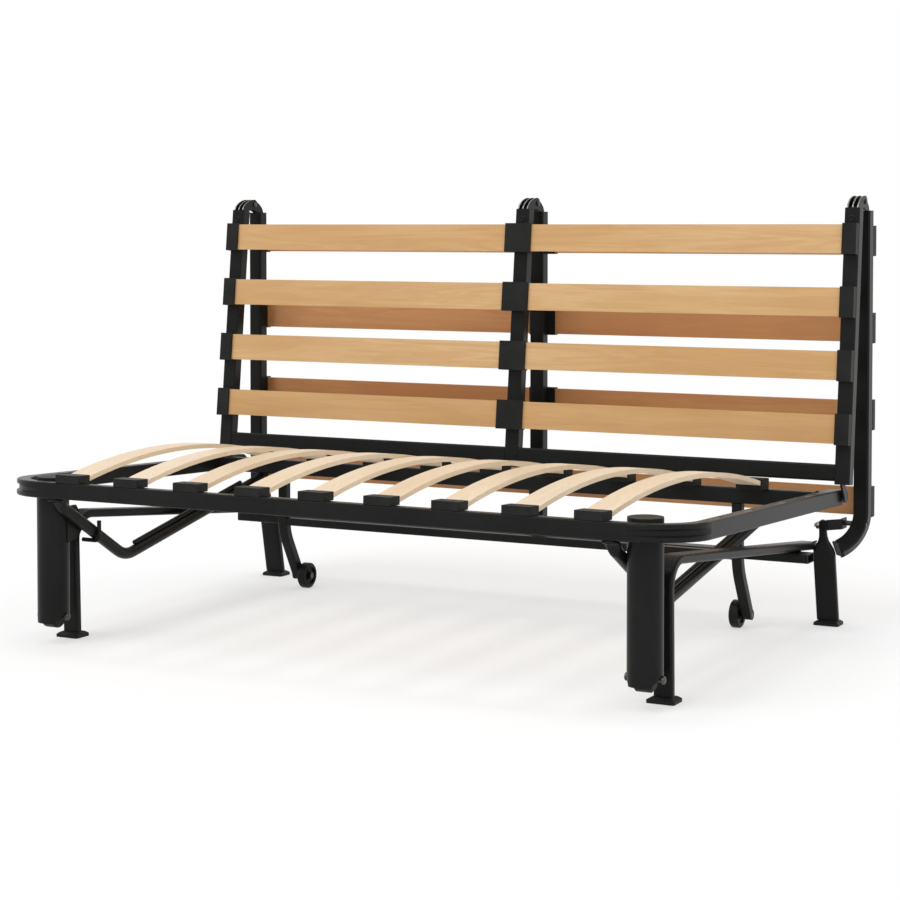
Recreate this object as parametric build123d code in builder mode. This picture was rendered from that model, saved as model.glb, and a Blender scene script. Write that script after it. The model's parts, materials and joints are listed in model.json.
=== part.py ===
"""Fold-out sofa bed frame, shown folded up as a sofa.

Millimetres. X runs along the sofa, Y from front to back, Z up from the floor.
The origin lies on the floor under the middle of the frame.
"""
from math import asin, atan2, cos, degrees, hypot, radians, sin, sqrt, tan
import os

from build123d import *

# Overall frame
overall_width = 1424.0  # over the outer faces of the back uprights
seat_width = 1380.0  # over the outer faces of the seat frame

# Seat frame: one rectangular tube bent into a U
seat_tube_width = 25.0
seat_tube_height = 30.0
seat_tube_wall = 2.0
seat_tube_edge = 3.0  # rounding of the tube's edges
seat_corner_radius = 105.0  # outer radius of the bent front corners
seat_front_height = 309.0  # top face of the front rail above the floor
seat_slope = 2.2  # degrees, falling to the rear
seat_rear_rail_depth = 722.0  # front rail's face to the rear rail's front face
pinch_depth = 4.5  # how far the outer wall sinks in at the bends
pinch_start = 0.5
pinch_flat = 8.0  # height of the groove's floor
pinch_flare = 16.0  # how much its sides open over one tube width
rail_slot_places = (150.0, 310.0, 490.0, 650.0)  # slots in the side rails' tops
rail_slot_length = 62.0
rail_slot_width = 8.0

# Hinge lines, seen from the side
seat_hinge_depth = 815.0  # front face to the seat hinge
seat_hinge_height = 265.0
top_hinge_depth = 892.0  # front face to the top hinge
top_hinge_height = 827.0
fold_pivot_depth = 913.0  # front face to the pivot behind each rear leg
fold_pivot_height = 200.0

# Back uprights and the panel's bottom rail
upright_width = 30.0
upright_thickness = 28.0
upright_wall = 2.0
upright_edge = 4.0
front_upright_ahead = 19.5  # centreline ahead of the seat hinge
front_upright_foot = 22.0  # bottom end above the seat hinge
top_hinge_behind = 35.4  # top hinge behind the front uprights' centreline
upright_top_below_hinge = 17.0
rear_upright_behind = 31.0  # rear uprights' centreline behind the top hinge
bottom_rail_gap = 28.0  # rail's underside above the seat hinge
bottom_rail_height = 32.0
bottom_rail_thickness = 26.0

# Lower ends of the rear uprights
rear_bend_start = 222.0  # height where the tube starts to bend
rear_bend_radius = 75.0
rear_bend_angle = 70.0
rear_bend_heading = 41.0  # degrees from straight forward, turned inboard
middle_upright_foot = 160.0

# Finger hinges
finger_thickness = 4.0
finger_gap = 1.0
knuckle_radius = 12.0
knuckle_pin_radius = 4.0
running_clearance = 0.06

# Slats of the two back panels
slat_height = 55.0
slat_thickness = 8.0
slat_play = 0.2
slat_lean_in = 18.0  # depth of a slat's end inside its holder
holder_width = 28.0
double_holder_width = 58.0
holder_depth = 17.0
holder_rim = 2.0
holder_back = 4.0
front_row_pitch = 121.0
front_row_count = 4
front_top_row = 489.0  # centre of the top row above the seat hinge, along the panel
rear_row_pitch = 170.0
rear_row_count = 4
rear_top_row = 751.0  # centre of the top row above the floor
rear_holder_depth = 17.0

# Seat slats
seat_slat_count = 9
seat_slat_width = 48.0
seat_slat_thickness = 8.5
seat_slat_crown = 36.0
seat_slat_front_pitch = 130.0
seat_slat_rear_pitch = 136.0
front_cap_width = 53.0
front_cap_length = 36.0
front_cap_height = 15.0
rear_cap_length = 40.0
rear_cap_height = 21.0
cap_grip = 24.0  # length of slat held inside a cap
cap_floor = 3.0

# Front legs of the seat, with a roller inside each
thick_leg_radius = 30.0
thick_leg_wall = 2.0
thick_leg_spacing = 596.0
thick_leg_setback = 56.5
thick_leg_foot = 40.0
scallop_rise = 14.0
leg_cap_thickness = 6.0
roller_radius = 22.0
roller_length = 32.0
roller_axis = 51.0  # height of the axle
roller_axle_radius = 4.0

# Bent support tubes under the seat
support_radius = 11.0
support_wall = 1.5
support_front_spacing = 553.0
support_rear_spacing = 570.0
support_bend_depth = 228.0
support_bend_height = 142.0
support_bend_radius = 70.0
support_front_height = 270.0
support_front_depth = 34.0
strut_radius = 4.5  # slim strut lying on each tube's rear arm
seating_gap = 0.02
strut_setback = 34.0
strut_length = 400.0
guide_pin_radius = 4.0
guide_pin_depth = 124.0
guide_pin_rise = 38.0
guide_pin_bend = 9.0
guide_pin_gap = 7.0
leg_web_x = 565.7
leg_web_thickness = 4.4
leg_web_corners = ((58.0, 258.0), (84.0, 258.0), (112.0, 222.0), (90.0, 196.0), (58.0, 190.0))

# Wheel legs at the rear of the seat
wheel_leg_size = 20.0
wheel_leg_wall = 2.0
wheel_leg_spacing = 510.0
wheel_leg_bend_height = 128.0
wheel_leg_bend_radius = 110.0
wheel_radius = 27.0
wheel_width = 18.0
wheel_setback = 789.0
wheel_gap = 2.0
wheel_axle_radius = 4.0
wheel_tie_size = 16.0
wheel_tie_height = 150.0

# Base
flat_tube_width = 34.0
flat_tube_thickness = 16.0
flat_tube_wall = 1.8
flat_tube_edge = 5.0
base_leg_spacing = 603.0
base_leg_depth = 122.0
base_leg_lean = 5.0  # top ahead of the foot
base_bend_radius = 45.0
base_rail_front_height = 235.5
base_rail_slope = 5.9
rear_leg_spacing = 637.2
rear_leg_depth = 900.0  # foot centre behind the front face
rear_leg_lean = 0.2
rear_leg_shoulder = 146.0
rear_tab_start = 172.0
rear_tab_width = 10.0
rear_tab_top = 216.0
foot_size = 50.0
foot_thickness = 10.0
foot_neck = 14.0
cross_tube_length = 1284.0
cross_tube_depth = 38.0
cross_tube_height = 18.0
cross_tube_setback = 752.0

# Pivot brackets
bracket_height = 20.0
bracket_thickness = 4.0
bracket_offset = 20.0
pivot_pin_radius = 5.0
pivot_head_radius = 9.0
pivot_head_thickness = 3.0

overall_depth = top_hinge_depth + rear_upright_behind + upright_thickness / 2 + rear_holder_depth
front_y = -overall_depth / 2


class Frame:
    """A working frame: u along X, v and w in the side view."""

    def __init__(self, origin, v_axis):
        self.origin = Vector(*origin)
        self.u = Vector(1, 0, 0)
        self.v = Vector(*v_axis).normalized()
        self.w = self.u.cross(self.v)

    def point(self, u=0.0, v=0.0, w=0.0):
        return self.origin + self.u * u + self.v * v + self.w * w

    def top(self, w=0.0):
        """Plane with local u and v, facing along w."""
        return Plane(self.point(w=w), x_dir=self.u, z_dir=self.w)

    def side(self, u=0.0):
        """Plane with local v and w, facing along u."""
        return Plane(self.point(u=u), x_dir=self.v, z_dir=self.u)

    def end(self, v=0.0):
        """Plane with local u and w, facing against v."""
        return Plane(self.point(v=v), x_dir=self.u, z_dir=-self.v)


def tube_section(width, height, wall, edge):
    """Hollow rectangle with rounded edges."""
    RectangleRounded(width, height, edge)
    inner_edge = max(edge - wall, 0.4)
    RectangleRounded(width - 2 * wall, height - 2 * wall, inner_edge, mode=Mode.SUBTRACT)


def finish(piece, label):
    piece.part.label = label
    export_step(piece.part, f"parts/{label}.step")


def finish_pair(piece, name):
    """Writes the right-hand piece and its mirror image."""
    finish(piece, f"{name}_right")
    with BuildPart() as left:
        add(mirror(piece.part, about=Plane.YZ))
    finish(left, f"{name}_left")


os.makedirs("parts", exist_ok=True)

# Frames of the three moving panels
world = Frame((0, front_y, 0), (0, 1, 0))
seat_fall = tan(radians(seat_slope))
seat = Frame((0, front_y, seat_front_height), (0, 1, -seat_fall))

hinge_rise = top_hinge_height - seat_hinge_height
hinge_run = top_hinge_depth - seat_hinge_depth
hinge_span = hypot(hinge_rise, hinge_run)
hinge_set_back = top_hinge_behind - front_upright_ahead
panel_lean = atan2(hinge_run, hinge_rise) - asin(hinge_set_back / hinge_span)
panel = Frame(
    (0, front_y + seat_hinge_depth, seat_hinge_height),
    (0, sin(panel_lean), cos(panel_lean)),
)
panel_top_hinge = sqrt(hinge_span**2 - hinge_set_back**2)
panel_hinge_w = -hinge_set_back
front_upright_length = panel_top_hinge - upright_top_below_hinge - front_upright_foot
upright_spacing = (overall_width - upright_width) / 2
back = Frame((0, front_y + top_hinge_depth + rear_upright_behind, 0), (0, 0, 1))
# In the back frame v is up and w points to the front.
rear_upright_top = top_hinge_height - upright_top_below_hinge

# Seat frame
seat_rail_spacing = (seat_width - seat_tube_width) / 2
seat_bend_radius = seat_corner_radius - seat_tube_width / 2
seat_mid = seat.top(-seat_tube_height / 2)
seat_hinge_from_front = Vector(0, front_y + seat_hinge_depth, seat_hinge_height) - seat.origin
seat_hinge_v = seat.v.dot(seat_hinge_from_front)
seat_hinge_w = seat.w.dot(seat_hinge_from_front)
rail_end_v = seat_hinge_v + seat_tube_height * 0.4

with BuildLine(seat_mid) as seat_path:
    FilletPolyline(
        (seat_rail_spacing, rail_end_v),
        (seat_rail_spacing, seat_tube_width / 2),
        (-seat_rail_spacing, seat_tube_width / 2),
        (-seat_rail_spacing, rail_end_v),
        radius=seat_bend_radius,
    )
seat_path_start = Plane(seat_path.wire() @ 0, x_dir=(1, 0, 0), z_dir=seat_path.wire() % 0)
# The pinching groove starts at the outer wall where the bend starts and dips in between.
diagonal = cos(radians(45))
pinch_shift = (pinch_depth + pinch_start) / (1 - diagonal)
pinch_floor = seat_corner_radius - pinch_depth + pinch_shift
ring_centre = seat_width / 2 - seat_corner_radius - pinch_shift * diagonal
ring_depth = seat_corner_radius + pinch_shift * diagonal
pinch_margin = degrees(atan2(pinch_shift * diagonal, seat_corner_radius + pinch_shift * diagonal))
pinch_arc = 90 - 2 * pinch_margin


def seat_tube_solid(shrink, edge):
    """The seat tube's outer or inner volume with its corners pinched."""
    with BuildPart() as volume:
        with BuildSketch(seat_path_start):
            RectangleRounded(seat_tube_width - 2 * shrink, seat_tube_height - 2 * shrink, edge)
        sweep(path=seat_path.wire())
        for side, first_angle in ((1, -90 + pinch_margin), (-1, 180 + pinch_margin)):
            centre = seat.point(side * ring_centre, ring_depth, -seat_tube_height / 2)
            turn = radians(first_angle)
            outward = seat.u * cos(turn) + seat.v * sin(turn)
            with BuildSketch(Plane(centre, x_dir=outward, z_dir=outward.cross(seat.w))):
                with BuildLine():
                    Polyline(
                        (pinch_floor, -pinch_flat / 2),
                        (pinch_floor, pinch_flat / 2),
                        (pinch_floor + seat_tube_width, pinch_flat / 2 + pinch_flare),
                        (pinch_floor + seat_tube_width, -pinch_flat / 2 - pinch_flare),
                        close=True,
                    )
                make_face()
                if shrink:
                    offset(amount=shrink, kind=Kind.INTERSECTION)
            revolve(axis=Axis(centre, seat.w), revolution_arc=pinch_arc, mode=Mode.SUBTRACT)
    return volume.part


seat_outer = seat_tube_solid(0, seat_tube_edge)
seat_inner = seat_tube_solid(seat_tube_wall, seat_tube_edge - seat_tube_wall)
with BuildPart() as seat_frame:
    add(seat_outer)
    add(seat_inner, mode=Mode.SUBTRACT)
    with BuildSketch(seat.side(-seat_width)):
        with Locations((rail_end_v, 0), (rail_end_v, -seat_tube_height)):
            Rectangle(16, 16, rotation=45)
    extrude(amount=2 * seat_width, mode=Mode.SUBTRACT)
    with BuildSketch(seat.side(-seat_width)):
        with Locations((seat_hinge_v, seat_hinge_w)):
            Circle(knuckle_pin_radius + running_clearance)
    extrude(amount=2 * seat_width, mode=Mode.SUBTRACT)
    with BuildSketch(seat.top(-1.5 * seat_tube_wall)):
        for side in (-1, 1):
            for place in rail_slot_places:
                with Locations((side * seat_rail_spacing, place)):
                    SlotOverall(rail_slot_length, rail_slot_width, rotation=90)
    extrude(amount=2 * seat_tube_wall, mode=Mode.SUBTRACT)
finish(seat_frame, "seat_frame")

# Rear rail between the seat's side rails
seat_inner_width = seat_width - 2 * seat_tube_width
rear_rail_v = seat_rear_rail_depth + seat_tube_width / 2
with BuildPart() as seat_rear_rail:
    with BuildSketch(seat.side(-seat_inner_width / 2)):
        with Locations((rear_rail_v, -seat_tube_height / 2)):
            tube_section(seat_tube_width, seat_tube_height, seat_tube_wall, seat_tube_edge)
    extrude(amount=seat_inner_width)
finish(seat_rear_rail, "seat_rear_rail")

# Seat slats and their caps
front_slat_v = front_cap_length - cap_grip
rear_slat_v = seat_rear_rail_depth - rear_cap_length + seat_tube_width * 0.6 + cap_grip
front_slat_w = cap_floor + slat_play
rear_slat_w = rear_cap_height - cap_floor - slat_play - seat_slat_thickness
slat_run = rear_slat_v - front_slat_v


def slat_plane(number):
    """Side-view plane along one seat slat, with its middle on the plane."""
    place = number - (seat_slat_count - 1) / 2
    front_point = seat.point(place * seat_slat_front_pitch, 0, 0)
    rear_point = seat.point(place * seat_slat_rear_pitch, rear_slat_v, 0)
    along = (rear_point - front_point).normalized()
    return Plane(front_point, x_dir=along, z_dir=along.cross(seat.w))


def slat_outline(rise):
    """One long face of a bowed slat as a line in the slat's plane."""
    start = (front_slat_v, front_slat_w + rise)
    end = (rear_slat_v, rear_slat_w + rise)
    middle_w = (front_slat_w + rear_slat_w) / 2 + seat_slat_crown + rise
    grip_front = (front_slat_v + cap_grip, front_slat_w + rise)
    grip_rear = (rear_slat_v - cap_grip, rear_slat_w + rise)
    return start, grip_front, ((front_slat_v + rear_slat_v) / 2, middle_w), grip_rear, end


for number in range(seat_slat_count):
    lower = slat_outline(0)
    upper = slat_outline(seat_slat_thickness)
    with BuildPart() as seat_slat:
        with BuildSketch(slat_plane(number)):
            with BuildLine():
                Line(lower[0], lower[1])
                ThreePointArc(lower[1], lower[2], lower[3])
                Line(lower[3], lower[4])
                Line(lower[4], upper[4])
                Line(upper[4], upper[3])
                ThreePointArc(upper[3], upper[2], upper[1])
                Line(upper[1], upper[0])
                Line(upper[0], lower[0])
            make_face()
        extrude(amount=seat_slat_width / 2, both=True)
    finish(seat_slat, f"seat_slat_{number + 1}")

slot_height = seat_slat_thickness + 2 * slat_play
slot_width = seat_slat_width + 2 * slat_play
with BuildPart() as front_slat_caps:
    for number in range(seat_slat_count):
        with BuildSketch(slat_plane(number)):
            with Locations((front_cap_length / 2, front_cap_height / 2)):
                Rectangle(front_cap_length, front_cap_height)
        extrude(amount=front_cap_width / 2, both=True)
    fillet(front_slat_caps.edges().filter_by(Axis.Z, tolerance=4), 2.5)
    for number in range(seat_slat_count):
        with BuildSketch(slat_plane(number)):
            with Locations((front_slat_v - slat_play + 25, front_slat_w + seat_slat_thickness / 2)):
                Rectangle(50, slot_height)
        extrude(amount=slot_width / 2, both=True, mode=Mode.SUBTRACT)
finish(front_slat_caps, "front_slat_caps")

rear_cap_start = rear_slat_v - cap_grip
with BuildPart() as rear_slat_caps:
    for number in range(seat_slat_count):
        with BuildSketch(slat_plane(number)):
            with Locations((rear_cap_start + rear_cap_length / 2, rear_cap_height / 2)):
                Rectangle(rear_cap_length, rear_cap_height)
        extrude(amount=front_cap_width / 2, both=True)
    fillet(rear_slat_caps.edges().filter_by(Axis.Z, tolerance=4), 2.5)
    for number in range(seat_slat_count):
        with BuildSketch(slat_plane(number)):
            with Locations((rear_slat_v + slat_play - 25, rear_slat_w + seat_slat_thickness / 2)):
                Rectangle(50, slot_height)
        extrude(amount=slot_width / 2, both=True, mode=Mode.SUBTRACT)
finish(rear_slat_caps, "rear_slat_caps")

# Thick front legs, scalloped at the foot, each under a flat round cap
leg_top = seat_front_height - seat_fall * thick_leg_setback
with BuildPart() as front_leg:
    with BuildSketch(Plane.XY.offset(thick_leg_foot)):
        with Locations((thick_leg_spacing, front_y + thick_leg_setback)):
            Circle(thick_leg_radius)
            Circle(thick_leg_radius - thick_leg_wall, mode=Mode.SUBTRACT)
    extrude(amount=leg_top - thick_leg_foot)
    with BuildSketch(world.side(0)):
        with Locations((thick_leg_setback, thick_leg_foot)):
            Ellipse(thick_leg_radius * 0.72, scallop_rise)
    extrude(amount=overall_width, mode=Mode.SUBTRACT)
    with BuildSketch(world.side(0)):
        with Locations((thick_leg_setback, roller_axis)):
            Circle(roller_axle_radius)
    extrude(amount=overall_width, mode=Mode.SUBTRACT)
finish_pair(front_leg, "front_leg")

with BuildPart() as leg_caps:
    with BuildSketch(Plane.XY.offset(leg_top)):
        for side in (-1, 1):
            with Locations((side * thick_leg_spacing, front_y + thick_leg_setback)):
                Circle(thick_leg_radius)
    extrude(amount=leg_cap_thickness)
    fillet(leg_caps.faces().sort_by(Axis.Z)[-1].edges(), 1.5)
    fillet(leg_caps.faces().filter_by(GeomType.PLANE).sort_by(Axis.Z)[-1].edges(), 0.4)
finish(leg_caps, "leg_caps")

# Bent support tubes
rear_join = seat.point(0, rear_rail_v, -seat_tube_height)
support_yaw = (support_rear_spacing - support_front_spacing) / seat_rear_rail_depth


def support_plane():
    """Vertical plane of the right-hand support tube; x back, y up."""
    origin = Vector(support_front_spacing, front_y, 0)
    along = Vector(support_yaw, 1, 0).normalized()
    return Plane(origin, x_dir=along, z_dir=along.cross(Vector(0, 0, 1)))


rear_end = (rear_rail_v, rear_join.Z - support_radius - 1.2)
support_front_end = (support_front_depth, support_front_height - support_radius - 1.5)
front_arm_slope = (support_bend_height - support_front_end[1]) / (
    support_bend_depth - support_front_depth
)
with BuildLine(support_plane()) as support_path:
    FilletPolyline(
        support_front_end,
        (support_bend_depth, support_bend_height),
        rear_end,
        radius=support_bend_radius,
    )
with BuildPart() as support_tube:
    with BuildSketch(Plane(support_path.wire() @ 0, z_dir=support_path.wire() % 0)):
        Circle(support_radius)
        Circle(support_radius - support_wall, mode=Mode.SUBTRACT)
    sweep(path=support_path.wire())
finish_pair(support_tube, "support_tube")

# Rods on the support tubes: a strut along each rear arm, and a bent guide pin inboard
arm = Vector(rear_end[0] - support_bend_depth, rear_end[1] - support_bend_height, 0).normalized()
strut_foot = Vector(support_bend_depth, support_bend_height, 0) + arm * strut_setback
strut_foot += Vector(-arm.Y, arm.X, 0) * (support_radius + strut_radius + seating_gap)
strut_start = support_plane().from_local_coords(strut_foot)
strut_along = support_plane().from_local_coords(strut_foot + arm) - strut_start
pin_axis_height = support_front_end[1] + (guide_pin_depth - support_front_depth) * front_arm_slope
pin_axis_x = support_front_spacing + support_yaw * guide_pin_depth
pin_x = pin_axis_x - support_radius - guide_pin_radius - seating_gap
pin_drop = (support_radius + guide_pin_radius + seating_gap) * hypot(1, front_arm_slope)
pin_low = pin_axis_height - pin_drop
with BuildLine(Plane.XZ.offset(-(front_y + guide_pin_depth))) as guide_path:
    FilletPolyline(
        (base_leg_spacing - flat_tube_width / 2 - guide_pin_gap, pin_low),
        (pin_x, pin_low),
        (pin_x, pin_low + guide_pin_rise),
        radius=guide_pin_bend,
    )
with BuildPart() as support_rods:
    with BuildSketch(Plane(strut_start, z_dir=strut_along)):
        Circle(strut_radius)
    extrude(amount=strut_length)
    chamfer(support_rods.edges(), strut_radius / 3)
    with BuildSketch(Plane(guide_path.wire() @ 0, z_dir=guide_path.wire() % 0)):
        Circle(guide_pin_radius)
    sweep(path=guide_path.wire())
    mirror(about=Plane.YZ)
finish(support_rods, "support_rods")

# Web plates between the thick legs and the support tubes
with BuildPart() as leg_webs:
    with BuildSketch(world.side(leg_web_x - leg_web_thickness / 2)):
        with BuildLine():
            Polyline(*leg_web_corners, close=True)
        make_face()
    extrude(amount=leg_web_thickness)
    with BuildSketch(Plane(support_path.wire() @ 0, z_dir=support_path.wire() % 0)):
        Circle(support_radius)
    sweep(path=support_path.wire(), mode=Mode.SUBTRACT)
    with BuildSketch(Plane.XY):
        with Locations((thick_leg_spacing, front_y + thick_leg_setback)):
            Circle(thick_leg_radius)
    extrude(amount=leg_top, mode=Mode.SUBTRACT)
    mirror(about=Plane.YZ)
finish(leg_webs, "leg_webs")

# Wheel legs, curved back to the wheels
leg_centre_v = seat_rear_rail_depth + wheel_leg_size / 2
leg_top_z = seat.point(0, seat_rear_rail_depth + wheel_leg_size, -seat_tube_height).Z - 0.1
with BuildLine(world.side(wheel_leg_spacing)) as wheel_leg_path:
    FilletPolyline(
        (leg_centre_v, leg_top_z),
        (leg_centre_v, wheel_leg_bend_height),
        (wheel_setback, wheel_radius),
        radius=wheel_leg_bend_radius,
    )
with BuildPart() as wheel_leg:
    with BuildSketch(Plane(wheel_leg_path.wire() @ 0, x_dir=(1, 0, 0), z_dir=(0, 0, -1))):
        tube_section(wheel_leg_size, wheel_leg_size, wheel_leg_wall, 3)
    sweep(path=wheel_leg_path.wire())
    with BuildSketch(world.side(wheel_leg_spacing - wheel_leg_size / 2)):
        with Locations((wheel_setback, wheel_radius)):
            Circle(wheel_leg_size / 2)
    extrude(amount=wheel_leg_size)
    with BuildSketch(world.side(wheel_leg_spacing - wheel_leg_size)):
        with Locations((wheel_setback, wheel_radius)):
            Circle(wheel_axle_radius)
    extrude(amount=2 * wheel_leg_size, mode=Mode.SUBTRACT)
finish_pair(wheel_leg, "wheel_leg")

# Tie between the wheel legs
tie_length = 2 * wheel_leg_spacing - wheel_leg_size
with BuildPart() as wheel_leg_tie:
    with BuildSketch(world.side(-tie_length / 2)):
        with Locations((leg_centre_v, wheel_tie_height)):
            tube_section(wheel_tie_size, wheel_tie_size, 1.5, 2.5)
    extrude(amount=tie_length)
finish(wheel_leg_tie, "wheel_leg_tie")

# Wheels and rollers, turning on fixed axles
wheel_inner_face = wheel_leg_spacing - wheel_leg_size / 2 - wheel_gap
with BuildPart() as wheel:
    with BuildSketch(world.side(wheel_inner_face - wheel_width)):
        with Locations((wheel_setback, wheel_radius)):
            Circle(wheel_radius)
    extrude(amount=wheel_width)
    chamfer(wheel.edges(), 2)
    for plane_x in (wheel_inner_face - wheel_width - 1, wheel_inner_face - 3):
        with BuildSketch(world.side(plane_x)):
            with Locations((wheel_setback, wheel_radius)):
                Circle(wheel_radius * 0.68)
                Circle(wheel_radius * 0.36, mode=Mode.SUBTRACT)
        extrude(amount=4, mode=Mode.SUBTRACT)
    with BuildSketch(world.side(wheel_inner_face - wheel_width)):
        with Locations((wheel_setback, wheel_radius)):
            Circle(wheel_axle_radius + running_clearance)
    extrude(amount=wheel_width, mode=Mode.SUBTRACT)
finish_pair(wheel, "wheel")

with BuildPart() as roller:
    with BuildSketch(world.side(thick_leg_spacing - roller_length / 2)):
        with Locations((thick_leg_setback, roller_axis)):
            Circle(roller_radius)
    extrude(amount=roller_length)
    chamfer(roller.edges(), 4)
    with BuildSketch(world.side(thick_leg_spacing - roller_length / 2)):
        with Locations((thick_leg_setback, roller_axis)):
            Circle(roller_axle_radius + running_clearance)
    extrude(amount=roller_length, mode=Mode.SUBTRACT)
finish_pair(roller, "roller")

with BuildPart() as axles:
    with BuildSketch(world.side(wheel_inner_face - wheel_width - 1)):
        with Locations((wheel_setback, wheel_radius)):
            Circle(wheel_axle_radius)
    extrude(amount=wheel_width + wheel_gap + wheel_leg_size + 1)
    with BuildSketch(world.side(wheel_inner_face - wheel_width - 4)):
        with Locations((wheel_setback, wheel_radius)):
            Circle(wheel_axle_radius * 1.7)
    extrude(amount=3)
    with BuildSketch(world.side(thick_leg_spacing - thick_leg_radius - 0.5)):
        with Locations((thick_leg_setback, roller_axis)):
            Circle(roller_axle_radius)
    extrude(amount=2 * thick_leg_radius + 1)
    with BuildSketch(
        world.side(thick_leg_spacing - thick_leg_radius - 3.5),
        world.side(thick_leg_spacing + thick_leg_radius + 0.5),
    ):
        with Locations((thick_leg_setback, roller_axis)):
            Circle(roller_axle_radius * 1.7)
    extrude(amount=3)
    mirror(about=Plane.YZ)
finish(axles, "axles")

# Base: each side is one flat tube bent from the front leg into the rail
rail_fall = tan(radians(base_rail_slope))
rail_rear_v = rear_leg_depth - rear_leg_lean * 150.0 + flat_tube_thickness / 2
leg_corner_v = base_leg_depth - base_leg_lean
with BuildLine(world.side(base_leg_spacing)) as side_path:
    FilletPolyline(
        (base_leg_depth, foot_thickness),
        (leg_corner_v, base_rail_front_height),
        (rail_rear_v, base_rail_front_height - rail_fall * (rail_rear_v - leg_corner_v)),
        radius=base_bend_radius,
    )
with BuildPart() as side_frame:
    with BuildSketch(Plane(side_path.wire() @ 0, x_dir=(1, 0, 0), z_dir=side_path.wire() % 0)):
        tube_section(flat_tube_width, flat_tube_thickness, flat_tube_wall, flat_tube_edge)
    sweep(path=side_path.wire())
    with BuildSketch(Plane.XY.offset(foot_thickness - 40)):
        Rectangle(2 * overall_width, 2 * overall_depth)
    extrude(amount=40, mode=Mode.SUBTRACT)
finish_pair(side_frame, "side_frame")

# Rear legs: flat tube, pressed to a thick tab at the top
with BuildPart() as rear_leg:
    rear_foot = world.point(rear_leg_spacing, rear_leg_depth, 0)
    leg_up = Vector(0, -rear_leg_lean, 1)

    def leg_plane(height):
        return Plane(rear_foot + leg_up * height, x_dir=(1, 0, 0), z_dir=(0, 0, 1))

    with BuildSketch(leg_plane(foot_thickness)):
        RectangleRounded(flat_tube_width, flat_tube_thickness, flat_tube_edge)
    with BuildSketch(leg_plane(rear_leg_shoulder)):
        RectangleRounded(flat_tube_width, flat_tube_thickness, flat_tube_edge)
    loft(ruled=True)
    with BuildSketch(leg_plane(rear_leg_shoulder)):
        RectangleRounded(flat_tube_width, flat_tube_thickness, flat_tube_edge)
    with BuildSketch(leg_plane(rear_tab_start)):
        RectangleRounded(rear_tab_width, flat_tube_thickness, flat_tube_edge * 0.6)
    loft(ruled=True)
    with BuildSketch(leg_plane(rear_tab_start)):
        RectangleRounded(rear_tab_width, flat_tube_thickness, flat_tube_edge * 0.6)
    with BuildSketch(leg_plane(rear_tab_top)):
        RectangleRounded(rear_tab_width, flat_tube_thickness, flat_tube_edge * 0.6)
    loft(ruled=True)
    inner_edge = flat_tube_edge - flat_tube_wall
    inner_size = (flat_tube_width - 2 * flat_tube_wall, flat_tube_thickness - 2 * flat_tube_wall)
    with BuildSketch(leg_plane(foot_thickness)):
        RectangleRounded(*inner_size, inner_edge)
    with BuildSketch(leg_plane(rear_leg_shoulder)):
        RectangleRounded(*inner_size, inner_edge)
    loft(ruled=True, mode=Mode.SUBTRACT)
finish_pair(rear_leg, "rear_leg")

# Cross tube under the side rails
rail_bottom_at_tube = (
    base_rail_front_height
    - rail_fall * (cross_tube_setback + cross_tube_depth - leg_corner_v)
    - flat_tube_thickness / 2 / cos(radians(base_rail_slope))
)
with BuildPart() as rear_cross_tube:
    with BuildSketch(world.side(-cross_tube_length / 2)):
        with Locations(
            (cross_tube_setback + cross_tube_depth / 2, rail_bottom_at_tube - cross_tube_height / 2)
        ):
            tube_section(cross_tube_depth, cross_tube_height, flat_tube_wall, 4)
    extrude(amount=cross_tube_length)
finish(rear_cross_tube, "rear_cross_tube")

# Moulded feet, flared to the floor
feet_places = [
    (side * spacing, front_y + depth)
    for side in (-1, 1)
    for spacing, depth in ((base_leg_spacing, base_leg_depth), (rear_leg_spacing, rear_leg_depth))
]
with BuildPart() as feet:
    with BuildSketch():
        with Locations(*feet_places):
            RectangleRounded(foot_size, foot_size * 0.8, 4)
    extrude(amount=foot_thickness * 0.55)
    with BuildSketch(Plane.XY.offset(foot_thickness * 0.55)):
        with Locations(*feet_places):
            RectangleRounded(foot_size, foot_size * 0.8, 4)
    extrude(amount=foot_thickness * 0.45, taper=60)
finish(feet, "feet")

# Front panel: three uprights and a bottom rail
upright_places = (-upright_spacing, 0.0, upright_spacing)
names = ("left", "middle", "right")
front_w = front_upright_ahead
for name, place in zip(names, upright_places):
    with BuildPart() as front_upright:
        with BuildSketch(panel.end(front_upright_foot)):
            with Locations((place, front_w)):
                tube_section(upright_width, upright_thickness, upright_wall, upright_edge)
        extrude(amount=-front_upright_length)
    finish(front_upright, f"front_upright_{name}")

bay_width = upright_spacing - upright_width
with BuildPart() as bottom_rail:
    for side in (-1, 1):
        start = side * upright_spacing / 2 - bay_width / 2
        with BuildSketch(panel.side(start)):
            with Locations((bottom_rail_gap + bottom_rail_height / 2, front_w)):
                tube_section(bottom_rail_height, bottom_rail_thickness, upright_wall, upright_edge)
        extrude(amount=bay_width)
finish(bottom_rail, "bottom_rail")

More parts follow.
